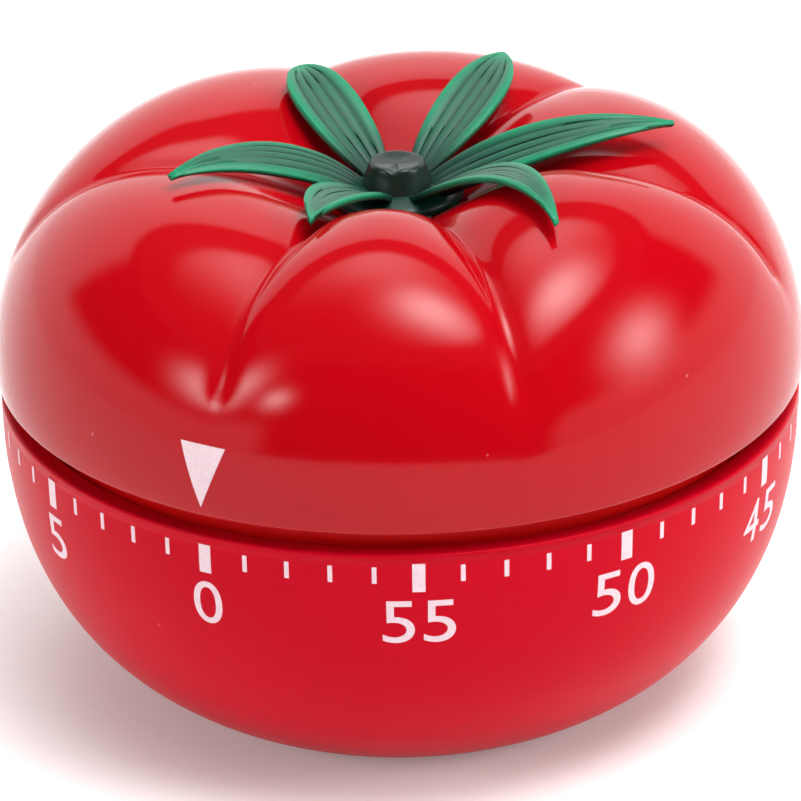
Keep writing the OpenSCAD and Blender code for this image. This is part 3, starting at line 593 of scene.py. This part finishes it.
def bowl_radius(z):
    """Outer radius of the bowl at a height."""
    p, q = BOWL_POWERS
    foot_turn = (1 - (foot_r / bowl_r) ** q) ** (1 / p)
    depth = (bowl_rim_z - z) / bowl_rim_z * foot_turn
    return bowl_r * (1 - max(depth, 0) ** p) ** (1 / q)


def eased(low, high, steps):
    """Heights from low to high, closer together near the low end."""
    return [low + (high - low) * (1 - math.cos(math.pi / 2 * i / steps)) for i in range(steps + 1)]


def add_column(whole, base, angle):
    """A screw column and its web; both are drawn in where they would poke through the wall."""
    heights = eased(base, deck_seat, 16)
    hole_low = deck_seat - COLUMN_HOLE_DEPTH
    bore = [(COLUMN_HOLE_R, deck_seat), (COLUMN_HOLE_R, hole_low), (ON_AXIS, hole_low)]
    bm = bmesh.new()
    lathe(bm, [(ON_AXIS, base)] + [(COLUMN_R, z) for z in heights] + bore, around=48)
    bmesh.ops.remove_doubles(bm, verts=bm.verts, dist=0.001 * MM)
    bmesh.ops.translate(bm, vec=(COLUMN_RING, 0, 0), verts=bm.verts)
    web_start = COLUMN_RING + COLUMN_R * 0.8
    for low, high in zip(heights, heights[1:]):
        web = bmesh.ops.create_cube(bm, size=1)["verts"]
        bmesh.ops.scale(bm, vec=(WEB_LENGTH, WEB_WIDTH, high - low), verts=web)
        bmesh.ops.translate(bm, vec=(web_start + WEB_LENGTH / 2, 0, (low + high) / 2), verts=web)
    bmesh.ops.remove_doubles(bm, verts=bm.verts, dist=0.001 * MM)
    between = []
    for face in bm.faces:
        middle = face.calc_center_median()
        level = len(face.verts) == 4 and abs(face.normal.z) > 0.99 and middle.x > web_start
        if level and base + 0.01 * MM < middle.z < deck_seat - 0.01 * MM:
            between.append(face)
    bmesh.ops.delete(bm, geom=between, context="FACES_ONLY")
    for vert in bm.verts:
        limit = bowl_radius(vert.co.z) - WALL / 2
        reach = vert.co.xy.length
        if reach > limit:
            vert.co.xy *= limit / reach
    turned = Matrix.Rotation(math.radians(angle), 3, "Z")
    bmesh.ops.rotate(bm, cent=(0, 0, 0), matrix=turned, verts=bm.verts)
    bmesh.ops.recalc_face_normals(bm, faces=bm.faces)
    join(whole, bm)


def make_bowl():
    lip = 0.25 * MM
    ledge_z = cap_top + LEDGE_THICK
    outside = [(bowl_radius(z), z) for z in eased(0, bowl_rim_z - lip, 48)]
    curl = [(r, bowl_rim_z - z) for r, z in rim_curl(bowl_r, bowl_r - WALL, 0, lip)]
    inside = [(bowl_radius(z) - WALL, z) for z in eased(ledge_z, bowl_rim_z - lip, 30)][::-1]
    cap_r = foot_r - FOOT_WIDTH
    floor_line = [
        (cap_r - LEDGE_WIDTH, ledge_z), (cap_r - LEDGE_WIDTH, cap_top), (cap_r, cap_top), (cap_r, 0.0),
    ]
    whole = bmesh.new()
    lathe(whole, outside + curl + inside + floor_line)
    for angle in COLUMN_ANGLES:
        add_column(whole, ledge_z + 1 * MM, angle)
    return new_piece("bowl", whole, bowl_red)


bowl = make_bowl()
print("bowl radius 10 mm up: %.1f mm" % (bowl_radius(10 * MM) / MM))

# %% [markdown]
# ## Printing on a curved wall
# Pad printing presses flat artwork onto the curved shell. The same is done here: marks and numerals
# are laid out flat, with x along the wall and y as the height, cut into short strips so that they
# can bend, and then wrapped. A little thickness keeps the ink clear of the wall's own surface.


# %% Flat artwork
def bar(bm, x, width, low, high):
    """An upright rectangle of ink."""
    left, right = x - width / 2, x + width / 2
    corners = ((left, low), (right, low), (right, high), (left, high))
    bm.faces.new([bm.verts.new((*corner, 0)) for corner in corners])


def cut_into_strips(bm, step):
    """Cuts flat artwork across at every step, so that it can follow a curve."""
    for axis in (0, 1):
        values = [v.co[axis] for v in bm.verts]
        place = math.floor(min(values) / step) * step + step
        while place < max(values):
            point, normal = Vector((0, 0, 0)), Vector((0, 0, 0))
            point[axis], normal[axis] = place, 1
            geom = list(bm.verts) + list(bm.edges) + list(bm.faces)
            bmesh.ops.bisect_plane(bm, geom=geom, dist=1e-7, plane_co=point, plane_no=normal)
            place += step


INK_LIFT = 0.03 * MM
INK_DEPTH = 0.02 * MM


def wrap(bm, radius_at, azimuth=0.0):
    """Thickens flat artwork and bends it round the timer's axis; radius_at gives the wall."""
    made = bmesh.ops.extrude_face_region(bm, geom=list(bm.faces))["geom"]
    raised = {v for v in made if isinstance(v, bmesh.types.BMVert)}
    for vert in list(bm.verts):
        lift = INK_LIFT if vert in raised else -INK_DEPTH
        turn = azimuth + math.degrees(vert.co.x / body_r)
        vert.co = polar(radius_at(vert.co.y, turn) + lift, turn, vert.co.y)
    bmesh.ops.recalc_face_normals(bm, faces=bm.faces)


def on_bowl(z, azimuth):
    return bowl_radius(z)


# %% Minute marks
MINUTES = 60
MARK_TOP = bowl_rim_z - 0.75 * MM
LONG_MARK = (1.0 * MM, 2.4 * MM)
SHORT_MARK = (0.36 * MM, 1.4 * MM)


def make_marks():
    whole = bmesh.new()
    for minute in range(MINUTES):
        width, length = LONG_MARK if minute % 5 == 0 else SHORT_MARK
        top = MARK_TOP if minute % 5 == 0 else MARK_TOP - 0.25 * MM
        bm = bmesh.new()
        bar(bm, 0, width, top - length, top)
        cut_into_strips(bm, 0.6 * MM)
        wrap(bm, on_bowl, azimuth=-360 / MINUTES * minute)
        join(whole, bm)
    return new_piece("minute_marks", whole, ink, smooth=False)


minute_marks = make_marks()

# %% Numerals
DIGIT_HEIGHT = 3.8 * MM
DIGIT_WIDTH = 2.5 * MM
DIGIT_PITCH = 3.2 * MM
DIGIT_BASE = 17.05 * MM


def digit_artwork(digit):
    """Flat mesh of one numeral, its middle at x = 0 and its foot at y = 0."""
    curve = bpy.data.curves.new("digit", "FONT")
    curve.body = digit
    curve.resolution_u = 8
    holder = bpy.data.objects.new("digit", curve)
    bpy.context.scene.collection.objects.link(holder)
    bpy.context.view_layer.update()
    evaluated = holder.evaluated_get(bpy.context.evaluated_depsgraph_get())
    mesh = bpy.data.meshes.new_from_object(evaluated)
    bpy.data.objects.remove(holder)
    bpy.data.curves.remove(curve)
    return mesh


def one_artwork():
    """The numeral one, drawn as a stem with a flag, because the font's one is a bare bar."""
    bm = bmesh.new()
    outline = ((0.85, 0), (1.3, 0), (1.3, 3.9), (0.92, 3.9), (0, 3.2), (0, 2.75), (0.85, 3.3))
    bm.faces.new([bm.verts.new((x, y, 0)) for x, y in outline])
    mesh = bpy.data.meshes.new("one")
    bm.to_mesh(mesh)
    bm.free()
    return mesh


def make_numbers():
    whole = bmesh.new()
    for minute in range(0, MINUTES, 5):
        label = str(minute)
        for place, digit in enumerate(label):
            mesh = one_artwork() if digit == "1" else digit_artwork(digit)
            bm = bmesh.new()
            bm.from_mesh(mesh)
            bpy.data.meshes.remove(mesh)
            xs = [v.co.x for v in bm.verts]
            ys = [v.co.y for v in bm.verts]
            width = DIGIT_WIDTH * (0.55 if digit == "1" else 1)
            stretch = width / (max(xs) - min(xs)), DIGIT_HEIGHT / (max(ys) - min(ys))
            scale = Matrix.Diagonal((*stretch, 1, 1))
            centre = Matrix.Translation((-(max(xs) + min(xs)) / 2, -min(ys), 0))
            shift = (place - (len(label) - 1) / 2) * DIGIT_PITCH
            move = Matrix.Translation((shift, DIGIT_BASE, 0))
            bmesh.ops.transform(bm, matrix=move @ scale @ centre, verts=bm.verts)
            cut_into_strips(bm, 0.5 * MM)
            wrap(bm, on_bowl, azimuth=-360 / MINUTES * minute)
            join(whole, bm)
    return new_piece("minute_numbers", whole, ink, smooth=False)


minute_numbers = make_numbers()

# %% [markdown]
# ## The pointer
# A white triangle is printed on the dial just above the gap, its tip down. It is wrapped onto the
# dial's own surface, which leans in above the rim, so the wall's radius is looked up on the outline.

# %% Pointer
POINTER_LOW = rim_z + 0.8 * MM
POINTER_HIGH = POINTER_LOW + 5.0 * MM
POINTER_WIDTH = 3.9 * MM


def on_dial(z, azimuth):
    """Radius of the dial's outside at a height and an azimuth."""
    if z <= DOME_START:
        return body_r
    low, high = 0.0, 1.0
    for _ in range(30):
        turn = (low + high) / 2
        ridge = dome(turn, body_r, crest_z, LOBE_CURVE)
        valley = dome(turn, body_r, crest_z - GROOVE_DEPTH, GROOVE_CURVE)
        radius, height = lobed(azimuth, ridge, valley)
        low, high = (turn, high) if height < z else (low, turn)
    return radius


def make_pointer():
    bm = bmesh.new()
    half = POINTER_WIDTH / 2
    corners = ((0, POINTER_LOW), (half, POINTER_HIGH), (-half, POINTER_HIGH))
    bm.faces.new([bm.verts.new((x, y, 0)) for x, y in corners])
    cut_into_strips(bm, 0.4 * MM)
    wrap(bm, on_dial)
    return new_piece("pointer", bm, ink, smooth=False)


pointer = make_pointer()

# %% [markdown]
# ## The calyx
# Each sepal is a thin ribbed leaf that leaves the disc round the stem, arches over the hollow and
# points outwards, and no two are alike. A flat grid is bent along a curve with four handles, given
# its outline by a width rule, ribbed by a cosine across it, and thickened. The rule also marks every
# point with its rib, rim and root values, which the green finish reads.

# %% Six sepals
# azimuth, sideways swing, four curve handles (radius, height), half width, widest place, taper,
# cup, lean
SEPALS = (
    (-117, -7, ((2.6, 0.5), (6.5, 2.7), (12.0, 5.4), (16.6, 5.0)), 2.7, 0.55, 0.85, 0.16, 0),
    (-53, 12, ((2.6, 0.5), (6.5, 3.8), (12.5, 5.7), (18.9, 4.6)), 1.9, 0.42, 1.6, -0.10, -16),
    (-5, 9, ((2.3, 0.3), (6.5, 2.6), (11.5, 4.3), (16.4, 4.25)), 2.3, 0.42, 1.5, 0.20, 0),
    (72, -12, ((2.3, 0.3), (7.5, 3.0), (14.0, 8.5), (22.4, 5.6)), 2.1, 0.36, 1.5, 0.12, 2),
    (110, 9, ((2.6, 0.4), (8.0, 3.8), (15.0, 6.8), (21.8, 5.5)), 2.2, 0.36, 1.5, 0.10, 20),
    (171, 8, ((2.6, 0.5), (6.5, 2.8), (12.5, 5.4), (18.4, 5.3)), 2.6, 0.56, 1.0, 0.14, 0),
)
SEPAL_THICK = 0.5 * MM
RIBS = 5


def bezier(handles, t):
    """Point on a cubic curve."""
    (ax, ay), (bx, by), (cx, cy), (dx, dy) = handles
    s = 1 - t
    weights = (s**3, 3 * s * s * t, 3 * s * t * t, t**3)
    return (
        sum(w * v for w, v in zip(weights, (ax, bx, cx, dx))),
        sum(w * v for w, v in zip(weights, (ay, by, cy, dy))),
    )


def sepal_width(t, widest, taper):
    """Half width along a sepal, 1 at its widest place and 0 at its tip."""
    root = 0.24
    start, left = (t + root) / (1 + root), max(1 - t, 0)
    peak = (widest + root) / (1 + root)
    share = peak / (1 - peak)
    return (start / peak) ** (share * taper * 0.8) * (left / (1 - widest)) ** (taper * 0.8)


def bend_sepal(bm, layers, azimuth, swing, handles, half, widest, taper, cup, lean):
    for vert in bm.verts:
        across, t = vert.co.x, vert.co.y
        r, z = bezier(handles, t)
        r2, z2 = bezier(handles, t + 0.02)
        slope = math.atan2(z2 - z, r2 - r)
        width = half * max(sepal_width(t, widest, taper), 0.02)
        fade = min(1, 4 * t) * min(1, 5 * (1 - t))
        rib = 0.5 + 0.5 * math.cos(across * math.pi * RIBS)
        rise = cup * width * across**2 + 0.13 * rib * fade
        side = width * across * math.cos(math.radians(lean))
        rise += width * across * math.sin(math.radians(lean))
        radius = r - rise * math.sin(slope)
        height = z + rise * math.cos(slope)
        turn = math.radians(azimuth + swing * t * t)
        out = Vector((math.sin(turn), -math.cos(turn), 0))
        along = Vector((math.cos(turn), math.sin(turn), 0))
        vert.co = (out * radius + along * side + Vector((0, 0, height))) * MM + Vector((0, 0, disc_z))
        vert[layers["rib"]] = rib
        edge = max(ramp(abs(across), 0.64, 0.96), ramp(t, 0.84, 0.98))
        vert[layers["rim"]] = edge * ramp(t, 0.05, 0.35)
        vert[layers["root"]] = 0.9 * (1 - ramp(t, 0.03, 0.45))


def make_calyx():
    whole = bmesh.new()
    for sepal in SEPALS:
        bm = bmesh.new()
        layers = {name: bm.verts.layers.float.new(name) for name in ("rib", "rim", "root")}
        bmesh.ops.create_grid(bm, x_segments=24, y_segments=30, size=1)
        bmesh.ops.scale(bm, vec=(1, 0.5, 1), verts=bm.verts)
        bmesh.ops.translate(bm, vec=(0, 0.5, 0), verts=bm.verts)
        bend_sepal(bm, layers, *sepal)
        bmesh.ops.recalc_face_normals(bm, faces=bm.faces)
        bmesh.ops.solidify(bm, geom=bm.faces, thickness=SEPAL_THICK)
        bmesh.ops.recalc_face_normals(bm, faces=bm.faces)
        join(whole, bm)
    return new_piece("sepals", whole, leaf_green)


sepals = make_calyx()


# %% Disc under the stem
def make_disc():
    bm = bmesh.new()
    layers = {name: bm.verts.layers.float.new(name) for name in ("rib", "rim", "root")}
    hole = 1.95 * MM
    outline = [
        (hole, disc_z), (4.6 * MM, disc_z), (5.3 * MM, disc_z + 0.4 * MM),
        (4.4 * MM, disc_z + 0.9 * MM), (3.0 * MM, disc_z + 1.2 * MM), (hole, disc_z + 1.2 * MM),
    ]
    lathe(bm, outline, around=72)
    for vert in bm.verts:
        vert[layers["root"]] = 0.8
    return new_piece("calyx_disc", bm, leaf_green)


calyx_disc = make_disc()

# %% [markdown]
# ## The stem
# The stem looks cut off: its top is hollow and its edge is uneven. It is spun, and its upper half is
# then pushed in and out by a slow wave, with one notch in the rim.

# %% Stem
STEM_BASE_R = 2.85 * MM


def make_stem():
    base = disc_z + 0.7 * MM
    tall = stem_top - base
    side = ((0.0, 0), (0.97, 0), (1.0, 0.1), (0.97, 0.25), (0.9, 0.5), (0.82, 0.75), (0.79, 0.92))
    dish = ((0.72, 1.0), (0.58, 0.98), (0.42, 0.94), (0.2, 0.91), (0.0, 0.90))
    outline = [(max(r, 0.0001) * STEM_BASE_R, base + h * tall) for r, h in side + dish]
    bm = bmesh.new()
    lathe(bm, outline, around=96)
    bmesh.ops.remove_doubles(bm, verts=bm.verts, dist=0.001 * MM)
    for vert in bm.verts:
        a = math.atan2(vert.co.x, -vert.co.y)
        rise = max(0, (vert.co.z - base) / tall)
        knobs = 0.6 * math.sin(3 * a + 0.4) + 0.4 * math.sin(5 * a + 2)
        notch = math.exp(-((a - math.radians(CAMERA_AZIMUTH - 8)) / 0.22) ** 2)
        vert.co.xy *= 1 + (0.012 * knobs - 0.03 * notch) * rise**2
        vert.co.z += (0.03 * knobs - 0.25 * notch) * MM * rise**6
    bmesh.ops.recalc_face_normals(bm, faces=bm.faces)
    piece = new_piece("cut_stem", bm, stem_dark)
    rounding = piece.modifiers.new("rounding", "SUBSURF")
    rounding.levels = rounding.render_levels = 2
    return piece


cut_stem = make_stem()

# %% [markdown]
# ## Finishes for the clockwork
# The frame's own pieces keep their shape. Each gets the finish that its material slot names.

# %% Dress the frame
SLOT_FINISH = {
    "gloss_red": gloss_red, "red": bowl_red, "dark_red": neck_red_painted_bounce_light, "leaf_green": leaf_green,
    "stem_green": stem_dark, "bush_white": nylon, "plate_brass": brass, "bell_chrome": chrome,
    "steel": steel, "spring_steel": blued,
}
for subpart in frame["record"]["subparts"]:
    node = frame["nodes"][subpart["node"]]
    node.data.materials.clear()
    node.data.materials.append(SLOT_FINISH[subpart["material_slot"]])
print("dressed", len(frame["nodes"]), "pieces of the frame")

# %% [markdown]
# ## What moves with what
# The dial's pieces turn with the dial, and the bowl's pieces stay with the case.

# %% Riders
for piece, body, slot in (
    (dial_shell, "dial", "gloss_red"), (pointer, "dial", "bush_white"), (sepals, "dial", "leaf_green"),
    (calyx_disc, "dial", "leaf_green"), (cut_stem, "dial", "stem_green"), (bowl, "case", "red"),
    (minute_marks, "case", "bush_white"), (minute_numbers, "case", "bush_white"),
):
    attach(piece, body)
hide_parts("upper_shell")
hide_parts("lower_shell")
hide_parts("calyx")
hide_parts("stem")
